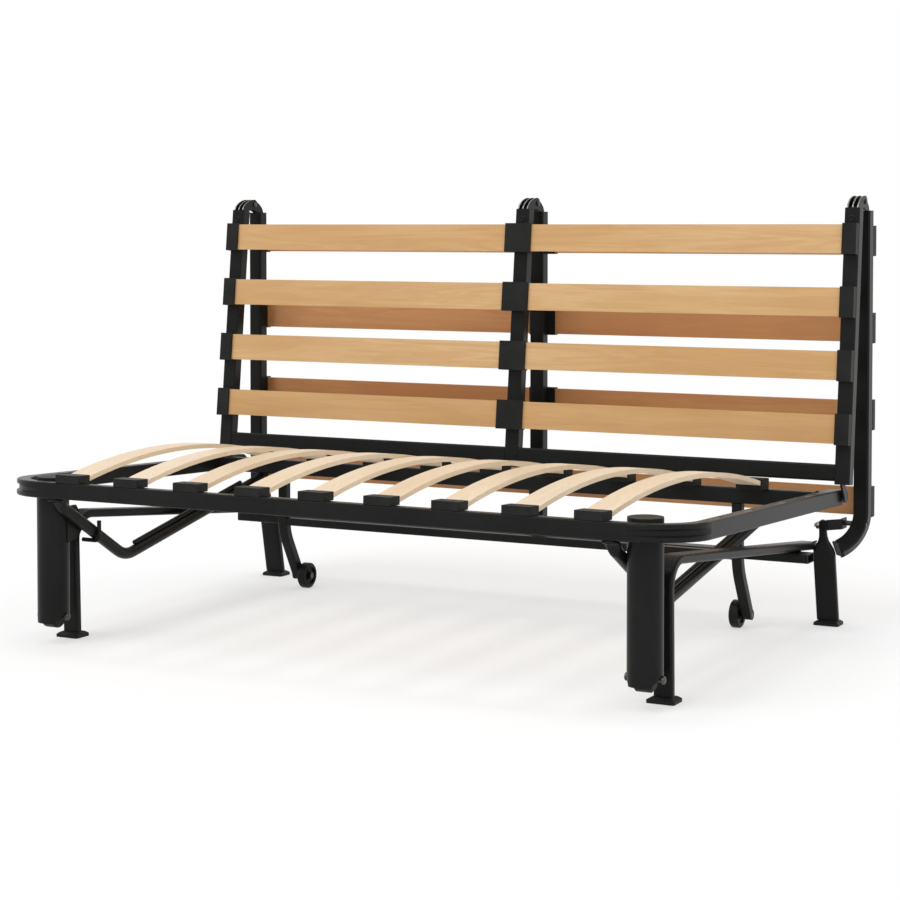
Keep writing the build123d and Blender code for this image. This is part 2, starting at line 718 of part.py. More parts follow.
# Seat hinge: a plate welded inside each outer upright's foot, and its pivot pin
hinge_plate_x = seat_width / 2 + 3.5
hinge_plate_thickness = 4.0
hinge_plate_reach = 60.0
with BuildPart() as seat_hinge:
    with BuildSketch(panel.side(hinge_plate_x)):
        with BuildLine():
            half = upright_thickness / 2 - upright_wall - 0.6
            Polyline(
                (front_upright_foot + hinge_plate_reach, front_w - half),
                (front_upright_foot + hinge_plate_reach, front_w + half),
                (front_upright_foot - 1, front_w + half),
                (0, knuckle_radius),
                (0, -knuckle_radius),
                (front_upright_foot - 1, front_w - half),
                close=True,
            )
        make_face()
        Circle(knuckle_radius)
    extrude(amount=hinge_plate_thickness)
    with BuildSketch(panel.side(seat_rail_spacing - seat_tube_width / 2 - 3)):
        Circle(knuckle_pin_radius)
    extrude(amount=seat_tube_width + 3 + 3.5)
    with BuildSketch(panel.side(seat_rail_spacing - seat_tube_width / 2 - 3)):
        Circle(knuckle_pin_radius * 1.8)
    extrude(amount=2.5)
finish_pair(seat_hinge, "seat_hinge")

# Rear panel: outer uprights bend forward and inboard to a stop behind the rear legs
heading = radians(90 - rear_bend_heading)
bend_drop = rear_bend_radius * sin(radians(rear_bend_angle))
bend_reach = rear_bend_radius * (1 - cos(radians(rear_bend_angle)))
bend_out = Vector(-sin(heading), -cos(heading), 0)
bend_plane = Plane(
    back.point(upright_spacing, rear_bend_start, 0),
    x_dir=bend_out,
    z_dir=bend_out.cross(Vector(0, 0, 1)),
)
# In the bend plane x runs forward and inboard, y up.
half_turn = radians(rear_bend_angle / 2)
half_chord = (
    rear_bend_radius * (1 - cos(half_turn)),
    -rear_bend_radius * sin(half_turn),
)
with BuildLine(bend_plane) as rear_path:
    Line((0, rear_upright_top - rear_bend_start), (0, 0))
    ThreePointArc((0, 0), half_chord, (bend_reach, -bend_drop))
pivot = world.point(0, fold_pivot_depth, fold_pivot_height)
with BuildPart() as rear_upright_right:
    with BuildSketch(Plane(rear_path.wire() @ 0, x_dir=(1, 0, 0), z_dir=(0, 0, -1))):
        tube_section(upright_width, upright_thickness, upright_wall, upright_edge)
    sweep(path=rear_path.wire())
    with BuildSketch(Plane(pivot, x_dir=(0, 1, 0), z_dir=(1, 0, 0))):
        Circle(pivot_pin_radius)
    extrude(amount=overall_width, mode=Mode.SUBTRACT)
finish_pair(rear_upright_right, "rear_upright")
with BuildPart() as rear_upright_middle:
    with BuildSketch(back.end(middle_upright_foot)):
        tube_section(upright_width, upright_thickness, upright_wall, upright_edge)
    extrude(amount=-(rear_upright_top - middle_upright_foot))
finish(rear_upright_middle, "rear_upright_middle")

# Finger hinges at the top: three fingers from the front panel, two from the rear
finger_pitch = finger_thickness + finger_gap
finger_root = 20.0


def finger(frame, place, hinge_v, hinge_w, top_v, centre_w):
    """Outline of one finger, from inside an upright's end round the hinge pin."""
    half = upright_thickness / 2 - upright_wall - 0.6
    with BuildSketch(frame.side(place - finger_thickness / 2)) as outline:
        with Locations((hinge_v, hinge_w)):
            Circle(knuckle_radius)
        with Locations((top_v + 1, centre_w)):
            Rectangle(0.5, 2 * half)
        make_hull()
        with Locations((top_v + 1 - finger_root / 2, centre_w)):
            Rectangle(finger_root, 2 * half)
        with Locations((hinge_v, hinge_w)):
            Circle(knuckle_pin_radius + running_clearance, mode=Mode.SUBTRACT)
    return outline.sketch


front_top = front_upright_foot + front_upright_length
with BuildPart() as front_hinge_fingers:
    for place in upright_places:
        for step in (-2, 0, 2):
            spot = place + step * finger_pitch
            outline = finger(panel, spot, panel_top_hinge, panel_hinge_w, front_top, front_w)
            extrude(outline, amount=finger_thickness)
finish(front_hinge_fingers, "front_hinge_fingers")

with BuildPart() as rear_hinge_fingers:
    for place in upright_places:
        for step in (-1, 1):
            spot = place + step * finger_pitch
            outline = finger(back, spot, top_hinge_height, rear_upright_behind, rear_upright_top, 0)
            extrude(outline, amount=finger_thickness)
finish(rear_hinge_fingers, "rear_hinge_fingers")

pin_length = 5 * finger_thickness + 4 * finger_gap + 3
with BuildPart() as top_hinge_pins:
    for place in upright_places:
        with BuildSketch(back.side(place - pin_length / 2)):
            with Locations((top_hinge_height, rear_upright_behind)):
                Circle(knuckle_pin_radius)
        extrude(amount=pin_length)
finish(top_hinge_pins, "top_hinge_pins")

# Pivot brackets on the rear legs and the pivot pins of the rear panel
bracket_inner = rear_leg_spacing + rear_tab_width / 2
bracket_outer = bracket_inner + bracket_offset
tab_depth = rear_leg_depth - rear_leg_lean * fold_pivot_height
pivot_y = front_y + fold_pivot_depth
with BuildPart() as pivot_bracket:
    with BuildSketch(Plane.XY.offset(fold_pivot_height - bracket_height / 2)):
        with BuildLine():
            outline = Polyline(
                (bracket_inner, front_y + tab_depth - flat_tube_thickness / 2),
                (bracket_inner, front_y + tab_depth + flat_tube_thickness / 2),
                (bracket_outer, pivot_y - bracket_height),
                (bracket_outer, pivot_y + bracket_height / 2),
            )
            offset(amount=bracket_thickness, side=Side.RIGHT)
        make_face()
    extrude(amount=bracket_height)
    with BuildSketch(Plane(pivot, x_dir=(0, 1, 0), z_dir=(1, 0, 0))):
        Circle(pivot_pin_radius + running_clearance)
    extrude(amount=overall_width, mode=Mode.SUBTRACT)
finish_pair(pivot_bracket, "pivot_bracket")

pin_start = bracket_outer - pivot_head_thickness - 0.5
with BuildPart() as pivot_pin:
    with BuildSketch(Plane(Vector(pin_start, pivot.Y, pivot.Z), x_dir=(0, 1, 0), z_dir=(1, 0, 0))):
        Circle(pivot_pin_radius)
    extrude(amount=upright_spacing + upright_width / 2 - 3 - pin_start)
    with BuildSketch(Plane(Vector(pin_start, pivot.Y, pivot.Z), x_dir=(0, 1, 0), z_dir=(1, 0, 0))):
        Circle(pivot_head_radius)
    extrude(amount=pivot_head_thickness)
finish_pair(pivot_pin, "pivot_pin")

# Panel slats and their moulded holders
slat_length = bay_width + 2 * slat_lean_in - 2 * (double_holder_width - upright_width) / 2
bay_ends = (double_holder_width / 2, upright_spacing - upright_width / 2 + 2)


def panel_slats(frame, row_v, slat_w, label):
    """A row of two slats, one in each bay."""
    with BuildPart() as row:
        inner = bay_ends[0] - slat_lean_in
        outer = bay_ends[1] + slat_lean_in
        for side in (-1, 1):
            with BuildSketch(frame.end(row_v - slat_height / 2)):
                with Locations((side * (inner + outer) / 2, slat_w)):
                    Rectangle(outer - inner, slat_thickness)
            extrude(amount=-slat_height)
    finish(row, label)


def panel_holders(frame, rows, slat_w, back_w, front_w_face, label):
    """Moulded holders with a slot for the end of each slat."""
    outer_low = bay_ends[1]
    outer_high = bay_ends[1] + holder_width
    low, high = sorted((back_w, front_w_face))
    rim_height = slat_height + 2 * (slat_play + holder_rim)
    with BuildPart() as holders:
        for row_v in rows:
            with BuildSketch(frame.end(row_v - rim_height / 2)):
                for side in (-1, 1):
                    with Locations((side * (outer_low + outer_high) / 2, (low + high) / 2)):
                        Rectangle(holder_width, high - low)
                with Locations((0, (low + high) / 2)):
                    Rectangle(double_holder_width, high - low)
            extrude(amount=-rim_height)
        for row_v in rows:
            with BuildSketch(frame.end(row_v - slat_height / 2 - slat_play)):
                inner = bay_ends[0] - slat_lean_in - slat_play
                outer = bay_ends[1] + slat_lean_in + slat_play
                for side in (-1, 1):
                    with Locations((side * (inner + outer) / 2, slat_w)):
                        Rectangle(outer - inner, slat_thickness + 2 * slat_play)
            extrude(amount=-(slat_height + 2 * slat_play), mode=Mode.SUBTRACT)
    finish(holders, label)


front_face_w = front_w + upright_thickness / 2
front_slat_w_mid = front_face_w + holder_back + slat_play + slat_thickness / 2
front_rows = [front_top_row - front_row_pitch * number for number in range(front_row_count)]
for number, row_v in enumerate(front_rows):
    panel_slats(panel, row_v, front_slat_w_mid, f"front_slats_{number + 1}")
panel_holders(
    panel, front_rows, front_slat_w_mid, front_face_w, front_face_w + holder_depth, "front_holders"
)

rear_face_w = -upright_thickness / 2
rear_slat_w_mid = rear_face_w - holder_back - slat_play - slat_thickness / 2
rear_rows = [rear_top_row - rear_row_pitch * number for number in range(rear_row_count)]
for number, row_v in enumerate(rear_rows):
    panel_slats(back, row_v, rear_slat_w_mid, f"rear_slats_{number + 1}")
panel_holders(
    back, rear_rows, rear_slat_w_mid, rear_face_w, rear_face_w - rear_holder_depth, "rear_holders"
)
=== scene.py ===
"""Looks of the fold-out sofa bed frame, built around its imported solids.

Metres. X runs along the frame, Y from front to back, Z up from the floor. A depth is
measured back from the front of the seat.
"""
import json
from math import copysign, cos, hypot, pi, radians, sin, tan

import bmesh
import bpy
from mathutils import Matrix, Vector


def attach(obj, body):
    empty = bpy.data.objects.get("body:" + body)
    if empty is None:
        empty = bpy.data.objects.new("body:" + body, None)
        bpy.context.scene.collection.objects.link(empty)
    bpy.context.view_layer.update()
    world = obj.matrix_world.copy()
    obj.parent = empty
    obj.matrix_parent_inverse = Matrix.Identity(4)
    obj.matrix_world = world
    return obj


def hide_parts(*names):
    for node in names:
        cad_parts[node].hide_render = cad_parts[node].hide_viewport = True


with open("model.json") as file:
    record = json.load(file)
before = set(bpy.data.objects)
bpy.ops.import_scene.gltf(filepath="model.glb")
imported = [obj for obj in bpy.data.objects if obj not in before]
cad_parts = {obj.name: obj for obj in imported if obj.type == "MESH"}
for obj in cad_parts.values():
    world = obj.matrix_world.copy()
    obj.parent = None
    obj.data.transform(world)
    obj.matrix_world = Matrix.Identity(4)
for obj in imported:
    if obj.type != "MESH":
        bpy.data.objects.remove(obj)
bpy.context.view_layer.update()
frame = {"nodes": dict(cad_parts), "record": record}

X_AXIS = Vector((1, 0, 0))
Y_AXIS = Vector((0, 1, 0))
Z_AXIS = Vector((0, 0, 1))
SIDES = (-1, 1)

# Sizes that the details share with the solids: the seat
FRONT_Y = -0.477
SEAT_TOP = 0.309
SEAT_SLOPE = radians(2.2)
SEAT_RAIL_X = 0.6775
SEAT_TUBE_WIDTH = 0.025
SEAT_TUBE_HEIGHT = 0.030
SEAT_INNER_X = SEAT_RAIL_X - SEAT_TUBE_WIDTH / 2
REAR_RAIL_DEPTH = 0.722
SLAT_CHORD_HALF = 0.3305
SLAT_RISE = 0.036
SLAT_MIDDLE = 0.3665
SLAT_CROWN = 0.0423
LEG_X = 0.596
LEG_Y = FRONT_Y + 0.0565
LEG_HALF_WIDTH = 0.0334
ROLLER_AXLE_HEIGHT = 0.051
SUPPORT_X = 0.5538
SUPPORT_RADIUS = 0.0112
SLOT_PLACES = (0.150, 0.310, 0.490, 0.650)
WHEEL_LEG_X = 0.510
WHEEL_LEG_HALF = 0.010
WHEEL_FACE = 0.480
WHEEL_Y = FRONT_Y + 0.789
WHEEL_RADIUS = 0.027
TIE_DEPTH = 0.724
TIE_HEIGHT = 0.150
TIE_SIZE = 0.016

# The base
BASE_RAIL_X = 0.603
BASE_RAIL_FALL = radians(5.9)
BASE_RAIL_HIGH = 0.2355
BASE_RAIL_START = 0.117
BASE_TUBE_HEIGHT = 0.016
CROSS_DEPTH = 0.752
CROSS_SIZE = 0.038
REAR_LEG_X = 0.6372
REAR_LEG_DEPTH = 0.900
REAR_LEG_LEAN = 0.2

# The two panels of the back
UPRIGHT_X = 0.697
UPRIGHT_PLACES = (-UPRIGHT_X, 0.0, UPRIGHT_X)
UPRIGHT_WIDTH = 0.030
UPRIGHT_THICKNESS = 0.028
UPRIGHT_TOP_GAP = 0.017
FRONT_UPRIGHT_FACE = 0.0335
FRONT_UPRIGHT_MIDDLE = 0.0195
BOTTOM_RAIL_LOW, BOTTOM_RAIL_HIGH = 0.028, 0.060
BOTTOM_RAIL_HALF = 0.013
PANEL_LEAN = radians(6.18)
TOP_HINGE = Vector((0, FRONT_Y + 0.892, 0.827))
SEAT_HINGE = Vector((0, FRONT_Y + 0.815, 0.265))
FOLD_PIVOT = Vector((0, FRONT_Y + 0.913, 0.200))
REAR_UPRIGHT_Y = TOP_HINGE.y + 0.031
REAR_UPRIGHT_FOOT = 0.1588
BEND_START = 0.222
BEND_RADIUS = 0.075
BEND_ANGLE = radians(70)
BEND_HEADING = radians(49)

# The seat's own directions
SEAT_ALONG = Vector((0, cos(SEAT_SLOPE), -sin(SEAT_SLOPE)))
SEAT_UP = Vector((0, sin(SEAT_SLOPE), cos(SEAT_SLOPE)))
SEAT_ORIGIN = Vector((0, FRONT_Y, SEAT_TOP))

# The front panel's own directions
PANEL_UP = Vector((0, sin(PANEL_LEAN), cos(PANEL_LEAN)))
PANEL_FRONT = Vector((0, -cos(PANEL_LEAN), sin(PANEL_LEAN)))


def seat_point(x, along, up=0.0):
    return SEAT_ORIGIN + X_AXIS * x + SEAT_ALONG * along + SEAT_UP * up


def panel_point(x, up, front=0.0):
    return SEAT_HINGE + X_AXIS * x + PANEL_UP * up + PANEL_FRONT * front


def rear_leg_point(x, height):
    """A point on the middle plane of the leaning rear legs."""
    return Vector((x, FRONT_Y + REAR_LEG_DEPTH - REAR_LEG_LEAN * height, height))


def base_rail_height(depth):
    """Underside of the base's side rails."""
    middle = BASE_RAIL_HIGH - tan(BASE_RAIL_FALL) * (depth - BASE_RAIL_START)
    return middle - BASE_TUBE_HEIGHT / 2 / cos(BASE_RAIL_FALL)


def srgb(red, green, blue):
    """A colour given as on a screen, as a linear one."""
    def linear(value):
        value /= 255
        return value / 12.92 if value <= 0.04045 else ((value + 0.055) / 1.055) ** 2.4
    return (linear(red), linear(green), linear(blue), 1.0)


class Finish:
    """A material under construction."""

    def __init__(self, name):
        self.material = bpy.data.materials.new(name)
        self.material.use_nodes = True
        self.tree = self.material.node_tree
        self.nodes = self.tree.nodes
        self.shader = self.nodes["Principled BSDF"]
        self.place = self.nodes.new("ShaderNodeTexCoord").outputs["Object"]

    def join(self, source, target):
        self.tree.links.new(source, target)

    def stretched(self, scale):
        mapping = self.nodes.new("ShaderNodeMapping")
        mapping.inputs["Scale"].default_value = scale
        self.join(self.place, mapping.inputs["Vector"])
        return mapping.outputs["Vector"]

    def noise(self, vector, scale, detail=3.0, roughness=0.5, distortion=0.0):
        node = self.nodes.new("ShaderNodeTexNoise")
        node.inputs["Scale"].default_value = scale
        node.inputs["Detail"].default_value = detail
        node.inputs["Roughness"].default_value = roughness
        node.inputs["Distortion"].default_value = distortion
        self.join(vector, node.inputs["Vector"])
        return node.outputs["Fac"]

    def ramp(self, source, stops):
        node = self.nodes.new("ShaderNodeValToRGB")
        self.join(source, node.inputs["Fac"])
        elements = node.color_ramp.elements
        elements[0].position, elements[0].color = stops[0]
        elements[1].position, elements[1].color = stops[-1]
        for position, colour in stops[1:-1]:
            elements.new(position).color = colour
        return node.outputs["Color"]

    def spread(self, source, low, high, from_low=0.0, from_high=1.0):
        node = self.nodes.new("ShaderNodeMapRange")
        node.inputs["From Min"].default_value = from_low
        node.inputs["From Max"].default_value = from_high
        node.inputs["To Min"].default_value = low
        node.inputs["To Max"].default_value = high
        self.join(source, node.inputs["Value"])
        return node.outputs["Result"]

    def math(self, operation, first, second=0.0):
        node = self.nodes.new("ShaderNodeMath")
        node.operation = operation
        for socket, value in zip(node.inputs, (first, second)):
            if isinstance(value, float):
                socket.default_value = value
            else:
                self.join(value, socket)
        return node.outputs["Value"]

    def mixed(self, factor, first, second):
        node = self.nodes.new("ShaderNodeMix")
        node.data_type = "RGBA"
        self.join(factor, node.inputs["Factor"])
        for socket, value in ((node.inputs["A"], first), (node.inputs["B"], second)):
            if isinstance(value, tuple):
                socket.default_value = value
            else:
                self.join(value, socket)
        return node.outputs["Result"]

    def bump(self, height, distance, strength=1.0, under=None):
        node = self.nodes.new("ShaderNodeBump")
        node.inputs["Distance"].default_value = distance
        node.inputs["Strength"].default_value = strength
        self.join(height, node.inputs["Height"])
        if under is not None:
            self.join(under, node.inputs["Normal"])
        self.join(node.outputs["Normal"], self.shader.inputs["Normal"])
        return node.outputs["Normal"]

    def paint(self, colour=None, roughness=None):
        if colour is not None:
            self.join(colour, self.shader.inputs["Base Color"])
        if roughness is not None:
            self.join(roughness, self.shader.inputs["Roughness"])

    def fixed(self, **values):
        for socket, value in values.items():
            self.shader.inputs[socket.replace("_", " ")].default_value = value


def powder_coat(name, dark, light, rough):
    """Satin powder coat on steel: fine orange peel, a little cloudiness and dust."""
    look = Finish(name)
    cloud = look.noise(look.place, 7.0, detail=5.0, roughness=0.6)
    grain = look.noise(look.place, 900.0, detail=2.0)
    peel = look.noise(look.place, 320.0, detail=2.0)
    dust = look.noise(look.place, 1400.0, detail=0.0)
    base = look.ramp(cloud, [(0.3, srgb(*dark)), (0.72, srgb(*light))])
    speck = look.spread(dust, 0.0, 0.16, 0.66, 0.74)
    look.paint(look.mixed(speck, base, srgb(88, 88, 86)))
    look.paint(roughness=look.spread(grain, rough - 0.05, rough + 0.07))
    under = look.bump(peel, 0.0005, 0.10)
    look.bump(grain, 0.0002, 0.12, under)
    look.fixed(Specular_IOR_Level=0.11)
    return look.material


def moulded_plastic(name, dark, light, rough):
    """Moulded plastic with a fine spark-eroded texture."""
    look = Finish(name)
    cloud = look.noise(look.place, 22.0, detail=3.0)
    grain = look.noise(look.place, 1500.0, detail=1.0)
    coarse = look.noise(look.place, 520.0, detail=2.0)
    look.paint(look.ramp(cloud, [(0.3, srgb(*dark)), (0.7, srgb(*light))]))
    look.paint(roughness=look.spread(coarse, rough - 0.06, rough + 0.08))
    under = look.bump(coarse, 0.0004, 0.16)
    look.bump(grain, 0.0002, 0.20, under)
    look.fixed(Specular_IOR_Level=0.15)
    return look.material


def plated_steel(name, dark, light):
    """Plated pins and bolts, brushed and slightly dulled."""
    look = Finish(name)
    streak = look.noise(look.stretched((1400.0, 60.0, 60.0)), 1.0, detail=3.0)
    cloud = look.noise(look.place, 60.0, detail=4.0)
    look.paint(look.ramp(cloud, [(0.3, srgb(*dark)), (0.7, srgb(*light))]))
    look.paint(roughness=look.spread(streak, 0.26, 0.46))
    look.bump(streak, 0.0001, 0.25)
    look.fixed(Metallic=1.0)
    return look.material


# Birch: noise scales lengthwise and across the grain, and the plies at the edges
CLOUD_SCALES = (1.4, 7.0)
FIGURE_SCALES = (2.2, 30.0)
FIBRE_SCALES = (16.0, 420.0)
FLECK_SCALES = (90.0, 620.0)
PLY_PAIR = 0.0017
FACES_EDGE = 0.75


def birch(name, grain, edge_axis, across_plies, tones, fleck_tone, fleck_share, swirl, rings):
    """Lacquered birch: figured face veneer, fine fibres, flecks, and plies at the edges.

    grain is the axis that the fibres follow (0 X, 1 Y), and edge_axis the one that the
    slat's narrow edges face. across_plies makes the distance across the plies.
    """
    look = Finish(name)

    def grained(scales, **settings):
        scale = [scales[1]] * 3
        scale[grain] = scales[0]
        return look.noise(look.stretched(tuple(scale)), 1.0, **settings)

    light, middle, deep = (srgb(*tone) for tone in tones)
    figure = grained(FIGURE_SCALES, detail=4.0, roughness=0.55, distortion=swirl)
    ring = look.spread(look.math("SINE", look.math("MULTIPLY", figure, rings)), 0.0, 1.0, -1.0, 1.0)
    cloud = grained(CLOUD_SCALES, detail=2.0)
    fibre = grained(FIBRE_SCALES, detail=3.0, roughness=0.6)
    fleck = grained(FLECK_SCALES, detail=1.0)
    colour = look.ramp(cloud, [(0.30, light), (0.52, middle), (0.74, deep)])
    colour = look.mixed(look.spread(ring, 0.0, 0.36), colour, deep)
    colour = look.mixed(look.spread(fibre, 0.0, 0.34, 0.35, 0.75), colour, deep)
    fleck_cover = look.spread(fleck, 0.0, fleck_share, 0.67, 0.76)
    colour = look.mixed(fleck_cover, colour, srgb(*fleck_tone))
    # The narrow edges show the plies.
    geometry = look.nodes.new("ShaderNodeNewGeometry")
    transform = look.nodes.new("ShaderNodeVectorTransform")
    transform.vector_type = "NORMAL"
    transform.convert_from = "WORLD"
    transform.convert_to = "OBJECT"
    normal = look.nodes.new("ShaderNodeSeparateXYZ")
    look.join(geometry.outputs["True Normal"], transform.inputs["Vector"])
    look.join(transform.outputs["Vector"], normal.inputs["Vector"])
    facing = look.math("ABSOLUTE", normal.outputs[edge_axis])
    edge = look.math("GREATER_THAN", facing, FACES_EDGE)
    ply = look.math("SINE", look.math("MULTIPLY", across_plies(look), 2 * pi / PLY_PAIR))
    ply_shade = look.math("MULTIPLY", look.spread(ply, 0.0, 0.30, 0.2, 1.0), edge)
    look.paint(look.mixed(ply_shade, colour, deep))
    look.paint(roughness=look.spread(fibre, 0.36, 0.52))
    under = look.bump(fibre, 0.0003, 0.18)
    look.bump(ply_shade, 0.0003, 0.30, under)
    look.fixed(Specular_IOR_Level=0.45, Coat_Weight=0.12, Coat_Roughness=0.28)
    return look.material


def along_direction(direction):
    """The distance across the plies of a flat slat."""
    def coordinate(look):
        node = look.nodes.new("ShaderNodeVectorMath")
        node.operation = "DOT_PRODUCT"
        look.join(look.place, node.inputs[0])
        node.inputs[1].default_value = direction
        return node.outputs["Value"]
    return coordinate


def from_bow_centre(centre):
    """The distance from the centre of the bow of the seat slats."""
    def coordinate(look):
        parts = look.nodes.new("ShaderNodeSeparateXYZ")
        look.join(look.place, parts.inputs["Vector"])
        back = look.math("SUBTRACT", parts.outputs["Y"], centre[1])
        up = look.math("SUBTRACT", parts.outputs["Z"], centre[2])
        squares = look.math("ADD", look.math("POWER", back, 2.0), look.math("POWER", up, 2.0))
        return look.math("SQRT", squares)
    return coordinate


bow_radius = (SLAT_CHORD_HALF**2 + SLAT_RISE**2) / (2 * SLAT_RISE)
bow_centre = seat_point(0, SLAT_MIDDLE, SLAT_CROWN - bow_radius)

looks = {
    "black_steel": powder_coat("black_steel_coat", (19, 20, 19), (27, 28, 27), 0.30),
    "black_plastic": moulded_plastic("black_moulding", (23, 24, 23), (33, 34, 32), 0.50),
    "wheel_plastic": moulded_plastic("wheel_moulding", (16, 17, 17), (24, 25, 25), 0.44),
    "zinc_steel": plated_steel("zinc_plate", (128, 128, 124), (168, 168, 164)),
    "seat_birch": birch(
        "seat_birch_lacquered",
        grain=1,
        edge_axis="X",
        across_plies=from_bow_centre(bow_centre),
        tones=((240, 222, 197), (233, 212, 183), (221, 193, 156)),
        fleck_tone=(128, 104, 80),
        fleck_share=0.45,
        swirl=0.6,
        rings=40.0,
    ),
    "back_birch": birch(
        "back_birch_lacquered",
        grain=0,
        edge_axis="Z",
        across_plies=along_direction(PANEL_FRONT),
        tones=((216, 180, 130), (205, 162, 108), (188, 139, 84)),
        fleck_tone=(150, 104, 60),
        fleck_share=0.10,
        swirl=1.4,
        rings=24.0,
    ),
}
# Rear slats: a redder and darker copy of the back birch. The redness is their own; the darkness is
# partly painted shade.
rear_birch_partly_painted_shade = birch(
    "rear_birch_lacquered",
    grain=0,
    edge_axis="Z",
    across_plies=along_direction(Y_AXIS),
    tones=((217, 163, 109), (206, 149, 94), (188, 127, 77)),
    fleck_tone=(130, 86, 52),
    fleck_share=0.15,
    swirl=1.2,
    rings=26.0,
)
dull_plate = plated_steel("dull_plate", (60, 60, 58), (92, 92, 89))
# Lighter plate for the rims of the front hinge fins: partly bare worn metal, partly a painted
# highlight on their edges.
worn_and_highlight_edge = plated_steel("fin_edge_worn_and_painted_highlight", (104, 104, 100), (146, 146, 141))
# Tan plastic for the strips in the rail slots: a painted reflection.
painted_slot_reflection = moulded_plastic("painted_slot_reflection", (104, 92, 76), (134, 120, 100), 0.6)

# Every imported solid takes a finish after its slot; the seat frame and the birch and plastic ones,
# but for the leg caps, also get eased edges
DULL_NODES = ("axles", "pivot_pin_left", "pivot_pin_right", "top_hinge_pins")
EASED_SLOTS = {"seat_birch": 0.0012, "back_birch": 0.0010, "black_plastic": 0.0009}
EASED_ANGLE = radians(50)
SEAT_FRAME_EASE = 0.0014
SEAT_FRAME_ANGLE = radians(22)


def node_look(name, slot_name):
    # The rear slats take the redder birch with partly painted shade.
    if name.startswith("rear_slats"):
        return rear_birch_partly_painted_shade
    if name in DULL_NODES:
        return dull_plate
    return looks[slot_name]


def ease_edges(node, width, angle):
    bevel = node.modifiers.new("eased_edges", "BEVEL")
    bevel.width = width
    bevel.segments = 2
    bevel.limit_method = "ANGLE"
    bevel.angle_limit = angle


for part in frame["record"]["subparts"]:
    name, slot_name = part["node"], part["material_slot"]
    node = frame["nodes"][name]
    node.data.materials.clear()
    node.data.materials.append(node_look(name, slot_name))
    if name == "seat_frame":
        ease_edges(node, SEAT_FRAME_EASE, SEAT_FRAME_ANGLE)
    elif slot_name in EASED_SLOTS and name != "leg_caps":
        ease_edges(node, EASED_SLOTS[slot_name], EASED_ANGLE)


def basis(axis):
    """Two directions square to an axis."""
    axis = Vector(axis).normalized()
    helper = Z_AXIS if abs(axis.z) < 0.9 else X_AXIS
    first = axis.cross(helper).normalized()
    return first, axis.cross(first)


def lathe(mesh, base, axis, profile, sides=20):
    """A turned form: profile is a list of (radius, height) from the base up."""
    axis = Vector(axis).normalized()
    first, second = basis(axis)
    rings = []
    for radius, height in profile:
        centre = Vector(base) + axis * height
        if not radius:
            rings.append([mesh.verts.new(centre)])
            continue
        ring = []
        for step in range(sides):
            angle = 2 * pi * step / sides
            spot = centre + first * (radius * cos(angle)) + second * (radius * sin(angle))
            ring.append(mesh.verts.new(spot))
        rings.append(ring)
    for low, high in zip(rings, rings[1:]):
        for step in range(sides):
            after = (step + 1) % sides
            if len(low) == 1:
                mesh.faces.new((low[0], high[after], high[step]))
            elif len(high) == 1:
                mesh.faces.new((low[step], low[after], high[0]))
            else:
                mesh.faces.new((low[step], low[after], high[after], high[step]))


def dome(mesh, base, axis, radius, height):
    """A rivet's rounded head."""
    steps = 5
    profile = [(0.0, 0.0), (radius, 0.0)]
    for step in range(1, steps):
        angle = step / steps * pi / 2
        profile.append((radius * cos(angle), height * sin(angle)))
    profile.append((0.0, height))
    lathe(mesh, base, axis, profile)


# Washers, nuts and bolt ends, each sunk a little into the one below
SUNK = 0.0001
WASHER_THICKNESS = 0.0012
WASHER_EDGE = 0.0008


def washer(mesh, base, axis, radius):
    """A flat washer with its upper edge eased."""
    rim = [(radius, 0), (radius, WASHER_EDGE), (radius * 0.96, WASHER_THICKNESS)]
    lathe(mesh, base, axis, [(0, 0), *rim, (0, WASHER_THICKNESS)], 24)


NUT_ACROSS = 0.013


def nut(mesh, base, axis, height):
    """A hexagon nut with its outer corners eased."""
    corner = NUT_ACROSS / 2 / cos(pi / 6)
    shoulder = height - height * 0.18
    rim = [(corner, 0), (corner, shoulder), (corner * 0.9, height)]
    lathe(mesh, base, axis, [(0, 0), *rim, (0, height)], 6)


WELD = 0.0019
SMALL_WELD = WELD * 0.8
WELD_RIPPLE = 0.0032
WELD_SIDES = 7


def weld(mesh, start, end, phase=0.0, radius=WELD):
    """A weld bead: a rippled string of metal between two points, thinner at its ends."""
    count = max(2, int((end - start).length / (WELD_RIPPLE / 4)))
    spots = [start.lerp(end, step / count) for step in range(count)] + [end]
    rings = []
    travelled = phase
    for number, spot in enumerate(spots):
        ahead = spots[min(number + 1, count)] - spots[max(number - 1, 0)]
        first, second = basis(ahead)
        if number:
            travelled += (spot - spots[number - 1]).length
        # Ripples at an even pitch, and a slight wander in thickness
        wave = abs(sin(pi * travelled / WELD_RIPPLE))
        wander = 0.08 * sin(travelled * 410.0) + 0.06 * sin(travelled * 173.0)
        thick = radius * (0.86 + 0.18 * wave + wander)
        if number in (0, count):
            thick *= 0.45
        ring = []
        for side in range(WELD_SIDES):
            angle = 2 * pi * side / WELD_SIDES
            ring.append(spot + first * (thick * cos(angle)) + second * (thick * sin(angle)))
        rings.append(ring)
    skin(mesh, rings)


def skin(mesh, rings):
    """Joins rings of points into a closed skin."""
    loops = [[mesh.verts.new(point) for point in ring] for ring in rings]
    for low, high in zip(loops, loops[1:]):
        for step in range(len(low)):
            after = (step + 1) % len(low)
            mesh.faces.new((low[step], low[after], high[after], high[step]))
    mesh.faces.new(list(reversed(loops[0])))
    mesh.faces.new(loops[-1])


def oval(centre, second, half_first, half_second, power, count=28):
    """Points round a soft rectangle in X and a second direction; power 2 is an ellipse."""
    ring = []
    for step in range(count):
        angle = 2 * pi * (step + 0.5) / count
        across = copysign(abs(cos(angle)) ** (2 / power), cos(angle))
        upward = copysign(abs(sin(angle)) ** (2 / power), sin(angle))
        ring.append(centre + X_AXIS * (half_first * across) + second * (half_second * upward))
    return ring


